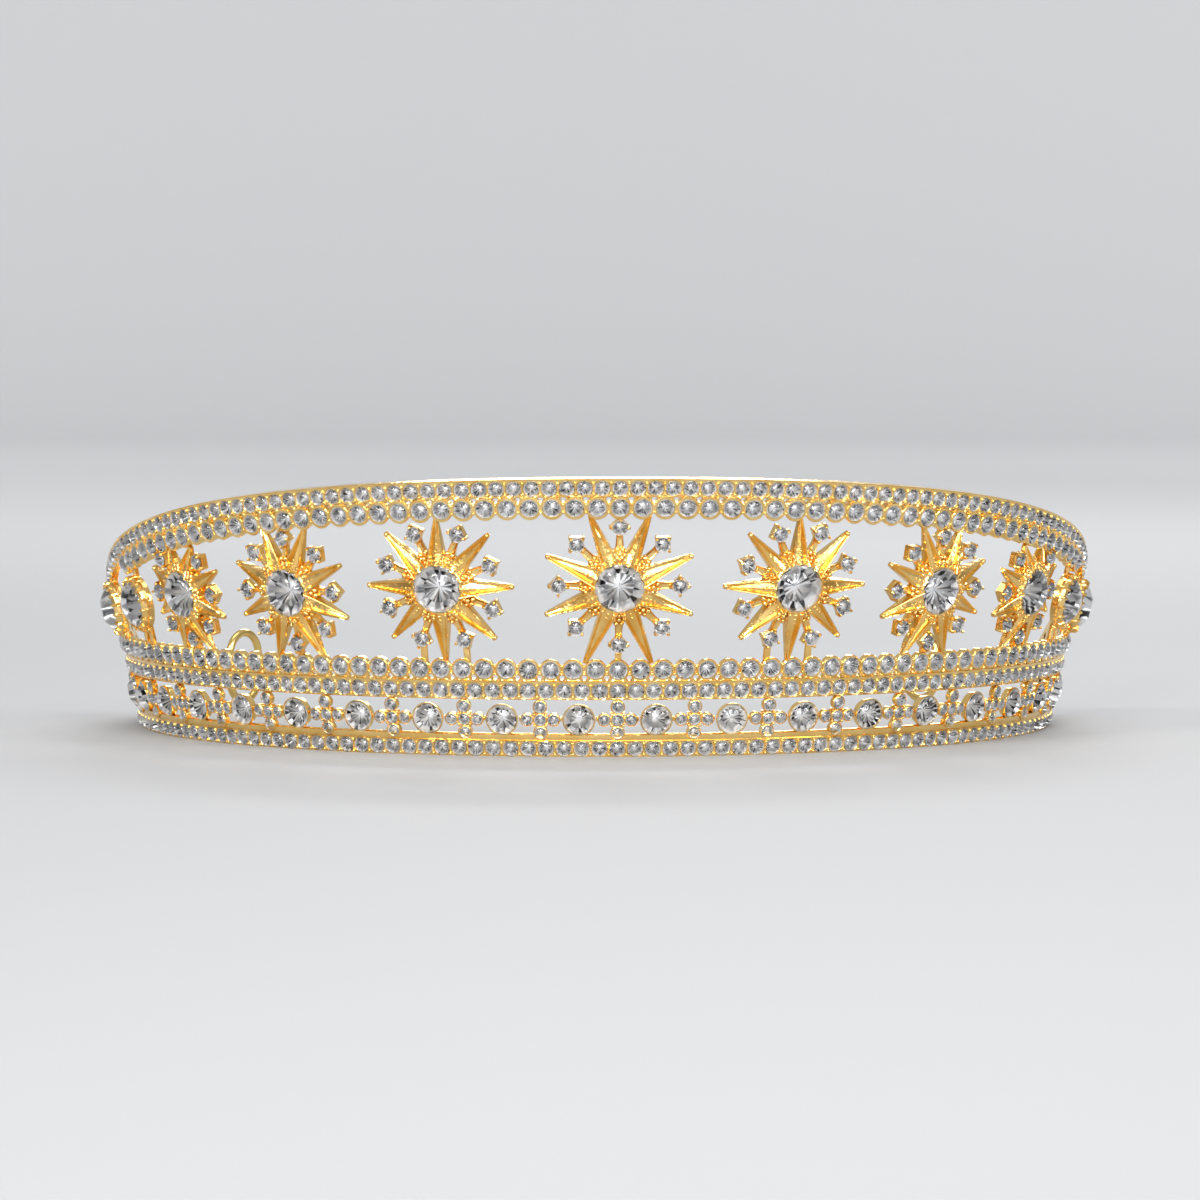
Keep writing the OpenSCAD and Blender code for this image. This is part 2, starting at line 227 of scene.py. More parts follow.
def bar(x0, x1, y0, y1, low, high, edge=0.12):
    """A flat bar with softened edges."""
    outline = [(x0, y0), (x1, y0), (x1, y1), (x0, y1)]
    rings = [(inset(outline, edge * 0.6), low), (outline, low + edge * 0.6), (outline, high - edge),
             (inset(outline, edge * 0.3), high - edge * 0.3), (inset(outline, edge), high)]
    n = len(outline)
    faces = bridges(len(rings), n)
    for i, flip in ((0, True), (len(rings) - 1, False)):
        for t in tessellate_polygon([[Vector((x, y, 0)) for x, y in rings[i][0]]]):
            q = np.array([rings[i][0][k] for k in t])
            side, other = q[1] - q[0], q[2] - q[0]
            up = side[0] * other[1] - side[1] * other[0] > 0
            t = tuple(i * n + k for k in t)
            faces.append(t if up != flip else t[::-1])
    return shape([(x, y, z) for ring, z in rings for x, y in ring], faces)


def bead(r, stretch=1.0, n=8):
    """A small dome with a flat foot just below its widest part."""
    rows = [(-0.5, 0.85), (0.0, 1.0), (0.5, 0.87), (0.86, 0.5)]
    points = [p for z, w in rows for p in circle(r * w, r * z * stretch, n)] + [(0, 0, r * stretch)]
    top = (len(rows) - 1) * n
    faces = bridges(len(rows), n)
    faces += [(top + k, top + (k + 1) % n, top + n) for k in range(n)]
    return shape(points, faces + [tuple(range(n))[::-1]])


def tube(centre, radius, n, first_up=(0, 0, 1)):
    """A round wire along a line of points, with rounded ends. Its radius may change on the way."""
    c = np.array(centre, float)
    t = np.gradient(c, axis=0)
    t /= np.linalg.norm(t, axis=1)[:, None]
    side = np.cross(t[0], first_up)
    turns = np.arange(n) * math.tau / n
    near_end, at_end = (0.25, 0.85), (0.6, 0.5)
    rings = []

    def ring(on, share):
        return [c[i] + t[i] * r * on + r * share * (side * math.cos(a) + up * math.sin(a))
                for a in turns]

    for i, r in enumerate(np.broadcast_to(radius, len(c))):
        side = side - t[i] * np.dot(side, t[i])
        side /= np.linalg.norm(side)
        up = np.cross(side, t[i])
        if i == 0:
            rings += [ring(-on, share) for on, share in (at_end, near_end)]
        rings.append(ring(0, 1))
    return loft(rings + [ring(*near_end), ring(*at_end)])


# Stones. In a stone, material 0 is the glass, 1 is the bright foil, and 2 and 3 are grey and dark tones
# that paint shaded reflections on some back facets.

GIRDLE = 0.03                      # its height, as the shares below of the stone's diameter
MAIN_AT, BACK_AT = 0.79, 0.48      # where the main facets and the back's ring lie, of the radius
# The dark and grey facets are painted reflection: the shade that the cut would show, put into the
# colour of the back.
OUTER_PAINTED_SHADE, INNER_PAINTED_SHADE = (0.04, 0.1), (0.12, 0.12)   # shares of dark and of grey facets
BIG_CUT = dict(crown=0.19, table=0.46, depth=0.25, waist=0.155, uneven=0.05)
ROUND_CUT = dict(crown=0.2, table=0.5, depth=0.23, waist=0.14, uneven=0.05)


def backing_with_painted_shade(dark, grey):
    """Chooses the back of one facet: most get the bright foil, and some get a painted dark reflection
    and some a painted grey one.
    """
    pick = rnd.random()
    return 3 if pick < dark else 2 if pick < dark + grey else 1


def cut_stone(d, crown=0.2, table=0.5, depth=0.3, waist=0.21, uneven=0.04):
    """A round brilliant with an uneven back, which is waist deep at its ring and depth deep in all."""
    r, g = d / 2, GIRDLE * d
    zc, rt, rm = g + crown * d, table * d / 2, MAIN_AT * r
    zm = zc + (rm * math.cos(math.tau / 16) - rt) * (g - zc) / (r - rt)
    back = []
    for k in range(32):
        rq = BACK_AT * r * (1 + rnd.uniform(-uneven, uneven))
        zq = -waist * d * (1 + rnd.uniform(-uneven, uneven))
        back.append((rq * math.cos(math.tau * k / 32), rq * math.sin(math.tau * k / 32), zq))
    points = (circle(rt, zc, 8) + circle(rm, zm, 8, 0.5) + circle(r, g, 16) + circle(r, 0, 16)
              + back + [(0, 0, -depth * d)])
    tip = len(points) - 1
    flat, main = lambda k: k % 8, lambda k: 8 + k % 8
    upper, lower, ring = lambda k: 16 + k % 16, lambda k: 32 + k % 16, lambda k: 48 + k % 32
    faces = [tuple(range(8))]
    for k in range(8):
        faces += [(flat(k), main(k), flat(k + 1)), (flat(k), main(k - 1), upper(2 * k), main(k)),
                  (main(k), upper(2 * k), upper(2 * k + 1)),
                  (main(k), upper(2 * k + 1), upper(2 * k + 2))]
    faces += [(lower(k), lower(k + 1), upper(k + 1), upper(k)) for k in range(16)]
    mats = [0] * len(faces)
    for k in range(16):
        faces += [(lower(k), ring(2 * k), ring(2 * k - 1)), (lower(k), ring(2 * k + 1), ring(2 * k)),
                  (lower(k), lower(k + 1), ring(2 * k + 1))]
        mats += [backing_with_painted_shade(*OUTER_PAINTED_SHADE) for _ in range(3)]
    faces += [(tip, ring(k + 1), ring(k)) for k in range(32)]
    mats += [backing_with_painted_shade(*INNER_PAINTED_SHADE) for _ in range(32)]
    return shape(points, faces, mats)


def seated(d, at):
    """A small stone in its place, turned and tilted a little, as stones set by hand are."""
    points, *rest = cut_stone(d)
    points[:, 2] += points[:, :2] @ np.array([rnd.gauss(0, 0.03), rnd.gauss(0, 0.03)])
    return moved((points, *rest), at, rnd.random() * 0.7)


class Bag:
    """Gathers placed shapes and makes one mesh object of them."""

    def __init__(self):
        self.points, self.loops, self.sizes, self.mats, self.n = [], [], [], [], 0

    def add(self, piece, place=None):
        p, loops, sizes, mats = piece
        self.points.append(place(p) if place else p)
        self.loops.append(loops + self.n)
        self.sizes.append(sizes)
        self.mats.append(mats)
        self.n += len(p)

    def make(self, name, materials, nodes, sharp=32.0, weld=True):
        mesh = bpy.data.meshes.new(name)
        points = np.concatenate(self.points) * MM
        loops, sizes = np.concatenate(self.loops), np.concatenate(self.sizes)
        starts = np.concatenate([[0], np.cumsum(sizes)[:-1]])
        mesh.vertices.add(len(points))
        mesh.vertices.foreach_set("co", points.astype(np.float32).ravel())
        mesh.loops.add(len(loops))
        mesh.loops.foreach_set("vertex_index", loops.astype(np.int32))
        mesh.polygons.add(len(sizes))
        mesh.polygons.foreach_set("loop_start", starts.astype(np.int32))
        for m in materials:
            mesh.materials.append(m)
        mesh.polygons.foreach_set("material_index", np.concatenate(self.mats).astype(np.int32))
        mesh.update(calc_edges=True)
        mesh.validate()
        if weld:
            work = bmesh.new()
            work.from_mesh(mesh)
            bmesh.ops.remove_doubles(work, verts=work.verts, dist=2e-6)
            bmesh.ops.recalc_face_normals(work, faces=work.faces)
            work.to_mesh(mesh)
            work.free()
        if sharp:
            mesh.polygons.foreach_set("use_smooth", [True] * len(mesh.polygons))
            mesh.set_sharp_from_angle(angle=math.radians(sharp))
        piece = bpy.data.objects.new(name, mesh)
        bpy.context.scene.collection.objects.link(piece)
        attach(piece, "root")
        if nodes:
            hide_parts(*nodes)

    def make_metal(self, name, material):
        self.make(name, [material], ["band"])

    def make_stones(self, name, *nodes):
        self.make(name, STONE, nodes, sharp=None, weld=False)


# Materials

def new_material(name):
    m = bpy.data.materials.new(name)
    m.use_nodes = True
    nodes, links = m.node_tree.nodes, m.node_tree.links
    return m, nodes, links, nodes["Principled BSDF"]


def noise(nodes, links, place, scale, detail):
    texture = nodes.new("ShaderNodeTexNoise")
    texture.inputs["Scale"].default_value = scale
    texture.inputs["Detail"].default_value = detail
    links.new(place.outputs["Object"], texture.inputs["Vector"])
    return texture.outputs["Fac"]


def two_tones(nodes, links, value, deep, light, light_from, shader):
    """Colours a shader from deep to light as the value grows."""
    tone = nodes.new("ShaderNodeValToRGB")
    start, end = tone.color_ramp.elements
    start.position, start.color = 0.35, (*deep, 1)
    end.position, end.color = light_from, (*light, 1)
    links.new(value, tone.inputs["Fac"])
    links.new(tone.outputs["Color"], shader.inputs["Base Color"])


def metal(name, light, deep, low, high, dents, grain):
    """Metal whose colour and gloss drift, with soft dents and a fine grain."""
    m, nodes, links, shader = new_material(name)
    shader.inputs["Metallic"].default_value = 1.0
    place = nodes.new("ShaderNodeTexCoord")
    two_tones(nodes, links, noise(nodes, links, place, 260, 4), deep, light, 0.62, shader)
    gloss = nodes.new("ShaderNodeMapRange")
    gloss.inputs["To Min"].default_value, gloss.inputs["To Max"].default_value = low, high
    fine = noise(nodes, links, place, 1500, 3)
    links.new(fine, gloss.inputs["Value"])
    links.new(gloss.outputs["Result"], shader.inputs["Roughness"])
    dent = noise(nodes, links, place, 900, 2)
    soft, sharp = nodes.new("ShaderNodeBump"), nodes.new("ShaderNodeBump")
    for bump, height, distance, strength in ((soft, dent, 0.0003, dents), (sharp, fine, 0.0001, grain)):
        bump.inputs["Distance"].default_value = distance
        bump.inputs["Strength"].default_value = strength
        links.new(height, bump.inputs["Height"])
    links.new(soft.outputs["Normal"], sharp.inputs["Normal"])
    links.new(sharp.outputs["Normal"], shader.inputs["Normal"])
    return m


def foil_and_painted_reflection(name, deep, light, rough, metallic=1.0):
    """The back of a stone, a little mottled: the bright mirror foil, and also the grey and dark tones
    that paint shaded reflections.
    """
    m, nodes, links, shader = new_material(name)
    shader.inputs["Metallic"].default_value = metallic
    shader.inputs["Roughness"].default_value = rough
    mottle = noise(nodes, links, nodes.new("ShaderNodeTexCoord"), 900, 2)
    two_tones(nodes, links, mottle, deep, light, 0.6, shader)
    return m


gold = metal("polished_gold", (1.0, 0.71, 0.28), (0.93, 0.6, 0.18), 0.08, 0.2, 0.15, 0.08)
cast_gold = metal("cast_gold", (1.0, 0.69, 0.26), (0.88, 0.53, 0.14), 0.12, 0.27, 0.4, 0.15)
wire_gold = metal("wire_gold", (0.85, 0.6, 0.2), (0.72, 0.48, 0.15), 0.16, 0.26, 0.04, 0.05)
glass, _, _, shader = new_material("cut_glass")
shader.inputs["Base Color"].default_value = (0.985, 0.99, 1.0, 1)
shader.inputs["Roughness"].default_value = 0.0
shader.inputs["IOR"].default_value = 1.5
shader.inputs["Transmission Weight"].default_value = 1.0
# The grey and dark backs are painted reflection, shade put into their colour; the bright one is the
# mirror foil.
STONE = [glass, foil_and_painted_reflection("bright_foil", (0.97, 0.975, 0.985), (1, 1, 1), 0.24, 0.55),
         foil_and_painted_reflection("painted_grey_reflection", (0.62, 0.63, 0.65), (0.8, 0.81, 0.83), 0.25),
         foil_and_painted_reflection("painted_dark_reflection", (0.16, 0.165, 0.18), (0.34, 0.35, 0.37), 0.22)]


# Settings and claws

def setting(d, back, front, wall, taper, n=24):
    """A round cup that opens through its back. The stone's girdle lies on its rim."""
    r = d / 2
    hole, out = max(0.3, r * 0.36), r + wall
    return lathe([(hole, back), (out - taper, back), (out, front - 0.3), (out, front - 0.05),
                  (out - 0.1, front + 0.08), (r + 0.05, front + 0.1), (r - 0.02, front),
                  (r - 0.04, front - 0.3)], n)


def prong(x, y, lean, z0, z1, r):
    """A small claw that leans toward the middle of its stone and ends in a rounded tip."""
    size = math.hypot(x, y)
    ux, uy = -x / size, -y / size
    points = [(x, y, z0), (x, y, z1 - 0.35), (x + ux * lean * 0.5, y + uy * lean * 0.5, z1 - 0.1),
              (x + ux * lean, y + uy * lean, z1)]
    return tube(points, [r, r * 0.95, r * 0.9, r * 0.8], 7, (ux, uy, 0))


def sweep(angles, section):
    """Sweeps a section of (height, depth) corners round the wall."""
    rings = []
    for a in angles:
        h, d = np.array(section(a), float).T
        rings.append(wall_point(np.full(len(h), math.radians(a)), h, d))
    return loft(rings)


# Rows of stones and the strips that hold them flush

def flush_row(path, pitch, last, grow_from=180, grown=3.2, grow_over=14):
    """Touching stones as far as the last angle, as pairs of a length along the path and a pitch.

    From the angle grow_from the pitch grows, and is grown after grow_over more degrees.
    """
    def step(s):
        return pitch + (grown - pitch) * min(1, max(0, (abs(path.angle(s)) - grow_from) / grow_over))

    spots, s = [], 0.0
    while s < path.half:
        p = step(s)
        if s + p / 2 > path.half or path.angle(s + p / 2) > last:
            break
        spots.append((s, p))
        s += (p + step(s + p)) / 2
    return [(-s, p) for s, p in reversed(spots[1:])] + spots


def strip_tile(pitch, low, high, back, front, hole, back_hole, soft=0.12, ends=(False, False)):
    """A length of a strip with one tapered hole for a stone, whose middle is the origin."""
    side = 5
    half, n = pitch / 2, 4 * side
    f = [k / side for k in range(side)]

    def outline(a, b):
        return ([(half, a + (b - a) * t) for t in f] + [(half - pitch * t, b) for t in f]
                + [(-half, b - (b - a) * t) for t in f] + [(-half + pitch * t, a) for t in f])

    full, top = outline(low, high), outline(low + soft, high - soft)
    turns = [math.atan2(y, x) for x, y in full]

    def round_hole(r, z):
        return [(r * math.cos(t), r * math.sin(t), z) for t in turns]

    rings = [round_hole(back_hole, back), [(x, y, back) for x, y in full],
             [(x, y, front - soft) for x, y in full], [(x, y, front) for x, y in top],
             round_hole(hole + 0.07, front - 0.04), round_hole(hole, front - 0.12),
             round_hole(hole - 0.03, front - 0.4)]
    outside = [k for k in range(n) if side <= k < 2 * side or k >= 3 * side
               or (ends[1] and k < side) or (ends[0] and 2 * side <= k < 3 * side)]
    faces = []
    for i in range(len(rings)):
        quads = bridge(i * n, (i + 1) % len(rings) * n, n)
        faces += [quads[k] for k in outside] if i in (1, 2) else quads
    return shape([p for ring in rings for p in ring], faces)


def strip(metal, stones, path, row, low, high, back, front, clip=lambda p: p):
    """A strip along a path, with flush stones and two beads between each two."""
    for i, (s, pitch) in enumerate(row):
        d = pitch - FLUSH_GAP
        bent = path.bent(s)
        place = lambda p: clip(bent(p))
        ends = (i == 0, i == len(row) - 1)
        metal.add(strip_tile(pitch, low, high, back, front, d / 2 + 0.02, d * 0.2, ends=ends), place)
        reach = min(0.72 * d / 2, high - 0.2, -low - 0.2)
        for y in (-reach, reach):
            metal.add(moved(bead(0.27, 1.1), (pitch / 2, y, front - 0.02)), place)
        stones.add(seated(d, (0, 0, front - 0.14)), path.rigid(s))


def above_floor(p):
    return np.concatenate([p[:, :2], np.maximum(p[:, 2:], 0)], 1)


def scallop_angles(height, last):
    step = math.degrees(SCALLOP_PITCH / (BASE_R + height * SIN))
    n = int(last / step)
    return [k * step for k in range(-n, n + 1)]


def scallops(metal, stones, path, angles, front, back, radius, eye_y):
    """A row of touching cups, with an eyelet between each two on the side of the strip."""
    eye = [(0.42, back + 0.15), (0.7, back + 0.1), (0.88, back + 0.3), (0.88, front - 0.25),
           (0.74, front - 0.1), (0.5, front - 0.1), (0.42, front - 0.22)]
    spots = [path.length(a) for a in angles]
    for i, s in enumerate(spots):
        metal.add(setting(SCALLOP, back, front, radius - SCALLOP / 2, 0.1), path.rigid(s))
        stones.add(seated(SCALLOP, (0, 0, front + 0.02)), path.rigid(s))
        if i + 1 < len(spots):
            place = path.bent((s + spots[i + 1]) / 2)
            metal.add(moved(lathe(eye, 16), (0, eye_y, 0)), place)
            for y in (0.6, -0.6):
                metal.add(moved(bead(0.27, 1.1), (0, y, front + 0.02)), place)


# Lower rail with its ledge

def ledge_section(a):
    high = min(3.75, top_edge(a) - 0.1)
    return [(2.4, 0.12), (2.4, 0.98), (2.85, 1.1), (min(3.2, high - 0.25), 1.14), (high - 0.16, 1.08),
            (high - 0.04, 0.9), (high, 0.6), (high - 0.05, 0.25), (high - 0.2, 0.05)]


low_metal, low_stones = Bag(), Bag()
low_path = Path(lambda deg: 1.5 + 0 * deg, 103.2)
strip(low_metal, low_stones, low_path, flush_row(low_path, 2.62, 103), low=-1.5, high=1.25,
      back=0.0, front=WALL, clip=above_floor)
low_metal.add(sweep(np.linspace(-102.4, 102.4, 138), ledge_section))
low_metal.make_metal("lower_rail", gold)
low_stones.make_stones("lower_rail_stones")


# Middle rail, closed at each tip by two fillers

def filler_section(a, low, high):
    high = max(low + 0.3, min(high, top_edge(abs(a)) - 2.3 / math.cos(slope(abs(a)))))
    return [(low, MID_BACK), (low, 0.9), (low + 0.1, 1.0), (high - 0.1, 1.0), (high, 0.9),
            (high, MID_BACK)]


mid_metal, mid_stones, mid_cups = Bag(), Bag(), Bag()
mid_path = Path(lambda deg: 10.42 + 0 * deg, 100.2)
strip(mid_metal, mid_stones, mid_path, flush_row(mid_path, 2.65, 98.6), low=-1.36, high=1.62,
      back=MID_BACK, front=MID_FRONT)
for side in (-1, 1):
    for first, last, low, high in ((98.2, 99.3, 9.1, 10.6), (95.9, 98.6, 11.7, 14.2)):
        mid_metal.add(sweep(np.linspace(first, last, 9) * side, lambda a: filler_section(a, low, high)))
scallops(mid_metal, mid_cups, Path(lambda deg: MID_CUPS_H + 0 * deg, 99),
         scallop_angles(MID_CUPS_H, 95.5), MID_FRONT, MID_BACK, radius=1.67, eye_y=-1.22)
mid_metal.make_metal("middle_rail", gold)
mid_stones.make_stones("middle_flush_stones")
mid_cups.make_stones("middle_row_stones", "middle_scallop_stones")

# Top rail
top_metal, top_stones, top_cups = Bag(), Bag(), Bag()
top_path = Path(top_edge, END - 0.05, drop=1.5)
strip(top_metal, top_stones, top_path, flush_row(top_path, 2.6, 103, grow_from=86), low=-1.33,
      high=1.5, back=TOP_BACK, front=TOP_STRIP)
scallops(top_metal, top_cups, Path(lambda deg: top_edge(deg) - TOP_CUPS_DROP, 76),
         scallop_angles(CREST - TOP_CUPS_DROP, 73.5), TOP_FRONT, TOP_BACK, radius=1.78, eye_y=1.22)
top_metal.make_metal("top_rail", gold)
top_stones.make_stones("top_flush_stones")
top_cups.make_stones("top_row_stones", "top_scallop_stones")

# Stones of a cross (x, y and diameter), and the bars that tie it in (x and y, each from and to)
CROSS = [(0, 0, 1.75), (-2.0, 0, 1.65), (2.0, 0, 1.65), (0, 2.0, 1.8), (0, -2.02, 1.85)]
TIES = [(-0.5, 0.5, 2.75, 3.7), (-0.5, 0.5, -3.3, -2.8), (-3.2, -2.7, -0.32, 0.32),
        (2.7, 3.2, -0.32, 0.32)]
ROUND_CUP = [(1.1, 0.05), (2.1, 0.05), (2.26, 0.2), (2.4, 0.8), (2.48, 1.2), (2.46, 1.33),
             (2.36, 1.36), (2.27, 1.24), (2.15, 1.12), (1.6, 0.7)]

cross_metal, cross_stones, cup_metal = Bag(), Bag(), Bag()
for k in range(-LAST_CROSS, LAST_CROSS + 1, 2):
    place = Rigid(math.radians(k * ROW_STEP), ROW_H)
    for tie in TIES:
        cross_metal.add(bar(*tie, 0.26, 0.86), place)
    for x, y, d in CROSS:
        if abs(k) == LAST_CROSS and x * k > 0:    # the tip leaves no room for this arm
            continue
        cross_metal.add(moved(setting(d, 0.4, 1.28, 0.2, 0.06, 16), (x, y, 0)), place)
        cross_stones.add(seated(d, (x, y, 1.3)), place)
    for x, y in ((0.86, 0.86), (-0.86, 0.86), (0.86, -0.86), (-0.86, -0.86)):
        cross_metal.add(moved(bead(0.27, 1.1), (x, y, 1.2)), place)
        cross_metal.add(bar(x - 0.2, x + 0.2, y - 0.2, y + 0.2, 0.4, 1.2), place)
for i, k in enumerate(range(1 - LAST_CROSS, LAST_CROSS, 2)):
    place = Rigid(math.radians(k * ROW_STEP), ROW_H)
    cup_metal.add(lathe(ROUND_CUP, 40), place)
    stone = Bag()
    stone.add(moved(cut_stone(ROUND, **ROUND_CUT), (0, 0, 1.22), 0.2 + 0.1 * (i % 3)), place)
    stone.make_stones("round_crystal_%d" % (i + 1), "round_stone_%d" % (i + 1))
cross_metal.make_metal("crosses", cast_gold)
cross_stones.make_stones("cross_stones")
cup_metal.make_metal("round_cups", gold)

# Suns. A steep ray, by the cosine of its turn, ends at a rail, and the others run free.

STEEP = 0.9
SEAT_AT = 0.765    # of the sun's reach
# Beads on a ray (distance and size), and between two rays (fixed and scaled distance, count and size)
RAY_BEADS = [(4.35, 0.3), (5.05, 0.27), (5.7, 0.23)]
CLUSTER = [(4.3, 0, 3, 0.33), (0, 5.0, 3, 0.4), (0, 5.7, 2, 0.42)]


def ray(tip_r, root_r=3.45, root_w=2.85, root_z=2.85, tip_w=0.66, tip_z=0.95, back=0.3):
    """One ray of a sun, pointing up: a tapered blade with two narrow ridges and a sunk middle."""
    rings = []
    steps = 10
    for i in range(steps + 1):
        t = i / steps
        y = root_r + (tip_r - root_r) * t
        w = root_w / 2 * (1 - t) ** 0.92 + tip_w / 2 * t
        z = root_z + (tip_z - root_z) * t ** 0.75
        ridge = min(0.24, 0.4 * w)
        floor = max(0.02, w - ridge - 0.1)
        dip = 0.5 * (1 - t) ** 0.45 + 0.06
        right = [(floor, z - dip), (w - ridge, z - 0.06), (w - ridge * 0.5, z), (w - 0.03, z - 0.08),
                 (w, z - 0.3), (w, back + 0.12), (w - 0.14, back)]
        rings.append([(-x, y, h) for x, h in reversed(right)] + [(0, y, z - dip * 0.3)]
                     + [(x, y, h) for x, h in right])
    return loft(rings)


def stem(scale, seat_r):
    """The rib from a sun's hub to a small seat, pointing up."""
    rows = ((4.6 * scale, 1.8, 1.15), (5.3 * scale, 1.6, 0.9), (6.0 * scale, 1.35, 0.62),
            (seat_r - 1.6, 1.2, 0.5), (seat_r - 0.95, 1.2, 0.6))   # distance, front and half width
    return loft([[(-w, y, 0.4), (-w, y, z - 0.25), (-w * 0.7, y, z), (-w * 0.35, y, z - 0.12),
                  (w * 0.35, y, z - 0.12), (w * 0.7, y, z), (w, y, z - 0.25), (w, y, 0.4)]
                 for y, z, w in rows])


def small_seat(seat_r):
    """The square seat of a small stone, standing on its corner, and its four claws."""
    seat = strip_tile(2.2, -1.1, 1.1, 0.25, 1.3, 1.0, 0.42, 0.16, (True, True))
    corners = ((1.38, 0), (-1.38, 0), (0, 1.38), (0, -1.38))
    claws = [prong(x, y, 0.22, 0.4, 2.0, 0.26) for x, y in corners]
    return [moved(p, (0, seat_r, 0)) for p in [moved(seat, turn=math.pi / 4)] + claws]


def sun_shapes(deg, height, reach, first):
    """The metal of one sun in its own flat frame, and the places of its small stones."""
    seat_r, scale = reach * SEAT_AT, reach / SUNS[0][2]
    up, down = top_edge(deg) - TWO_ROWS - height, height - MID_HIGH
    out = [lathe([(1.1, 0.3), (5.2 * scale, 0.3), (5.7 * scale, 0.6), (5.6 * scale, 1.2), (4.6, 1.75),
                  (4.1, 2.15), (3.85, 2.5), (3.66, 2.5), (3.5, 2.3), (2.4, 1.4)], 40)]
    small = []
    for k in range(8):
        turn = math.radians(first + 45 * k)
        c = math.cos(turn)
        free = abs(c) <= STEEP
        far = reach if free else ((up if c > 0 else down) + 0.5) / abs(c)
        out.append(moved(ray(far), turn=-turn))
        if free:
            out.append(moved(moved(bead(0.42, 1.1, 10), (0, far - 0.3, 0.78)), turn=-turn))
        for y, r in RAY_BEADS:
            at = (0, y * (1 + scale) / 2, 2.2 - (y - RAY_BEADS[0][0]) * 0.3)
            out.append(moved(moved(bead(r, 1.1), at), turn=-turn))
        mid = turn + math.pi / 8
        if math.cos(mid) < STEEP or up > seat_r + SMALL / 4:
            small.append(mid)
            out += [moved(piece, turn=-mid) for piece in [stem(scale, seat_r)] + small_seat(seat_r)]
        for fixed, scaled, count, size in CLUSTER:
            r = fixed + scaled * scale
            for j in range(count):
                a = mid + (j - (count - 1) / 2) * 0.72 / r * 1.1
                z = 2.0 - (r - CLUSTER[0][0]) * 0.5 + 0.12 * rnd.random()
                out.append(moved(bead(size * (0.9 + 0.25 * rnd.random()), 1.1),
                                 (r * math.sin(a), r * math.cos(a), z)))
    spots = [(math.sin(mid) * seat_r, math.cos(mid) * seat_r) for mid in small]
    out += [bar(x - 0.5, x + 0.5, -down - 0.5, y - 1.0, 0.32, 0.9)
            for x, y in spots if y < -STEEP * seat_r]
    return out, spots


sun_metal, ray_stones = Bag(), Bag()
for i, (deg, height, reach, first) in enumerate(both_sides(SUNS)):
    place = Rigid(math.radians(deg), height)
    pieces, spots = sun_shapes(deg, height, reach, first)
    for piece in pieces:
        sun_metal.add(piece, place)
    for x, y in spots:
        ray_stones.add(seated(SMALL, (x, y, 1.62)), place)
    stone = Bag()
    stone.add(moved(cut_stone(BIG, **BIG_CUT), (0, 0, 2.42), 0.1 * i), place)
    stone.make_stones("sun_crystal_%d" % (i + 1), "sun_stone_%d" % (i + 1))
sun_metal.make_metal("suns", cast_gold)
ray_stones.make_stones("sun_small_stones", "ray_stones")

# Plain rings with claws, and their links to the rails
RING = [(1.3, 0.2), (3.9, 0.2), (4.2, 0.4), (4.3, 1.0), (4.28, 1.8), (4.1, 2.1), (3.75, 2.3),
        (3.62, 2.15), (3.5, 1.95), (2.4, 1.2)]
ring_metal = Bag()
for i, (deg, height) in enumerate(both_sides(RINGS)):
    place = Rigid(math.radians(deg), height)
    ring_metal.add(lathe(RING, 40), place)
    for x, y, _ in circle(4.15, 0, 16, 0.5):
        ring_metal.add(prong(x, y, 0.45, 0.9, 2.45, 0.3), place)
    up = top_edge(deg) - (TWO_ROWS if abs(deg) < ONE_ROW_FROM else ONE_ROW) - height
    ring_metal.add(bar(-0.6, 0.6, 3.9, up + 0.5, 0.32, 1.0), place)
    for x in (-1.3, 1.3):
        ring_metal.add(bar(x - 0.5, x + 0.5, -(height - MID_HIGH + 0.5), -3.9, 0.32, 1.0), place)
        ring_metal.add(moved(bead(0.55, 1.0, 12), (x, -4.3, 1.0)), place)
    stone = Bag()
    stone.add(moved(cut_stone(BIG, **BIG_CUT), (0, 0, 2.12), 0.1 * i), place)
    stone.make_stones("ring_crystal_%d" % (i + 1), "ring_stone_%d" % (i + 1))
ring_metal.make_metal("plain_rings", cast_gold)

# Closed plate near each tip, with stones where the rails close up (angle, height and diameter)
TIP_STONES = [(89.3, 16.9, 2.7), (91.7, 16.5, 2.4), (89.2, 19.3, 1.9), (87.3, 15.6, 1.5)]


def tip_section(a):
    edge = top_edge(abs(a))
    high = edge - 2.3 / max(0.3, math.cos(slope(abs(a))))
    low = min(max(1.375, min(MID_HIGH - 0.3, edge - ONE_ROW)), high - 0.2)
    return [(low, 0.1), (low, 0.35), (low + 0.08, 0.4), (high, 0.4), (high, 0.1)]


tip_metal, tip_stones = Bag(), Bag()
for side in (-1, 1):
    tip_metal.add(sweep(np.linspace(88, 97.5, 20) * side, tip_section))
    for deg, height, d in TIP_STONES:
        place = Rigid(math.radians(side * deg), height)
        tip_metal.add(setting(d, 0.3, 1.3, 0.3, 0.1), place)
        tip_stones.add(seated(d, (0, 0, 1.32)), place)
tip_metal.make_metal("tip_plates", gold)
tip_stones.make_stones("tip_stones")

# Sleeves that hold the arms, each crimped at two places
SLEEVE_HALF, CRIMPS, CRIMP_DEPTH, CRIMP_WIDTH = 2.5, (1.1, -1.1), 0.16, 0.35


def squarish(value):
    """Cosine or sine of a circle that is drawn out toward a square."""
    return math.copysign(abs(value) ** 0.6, value)


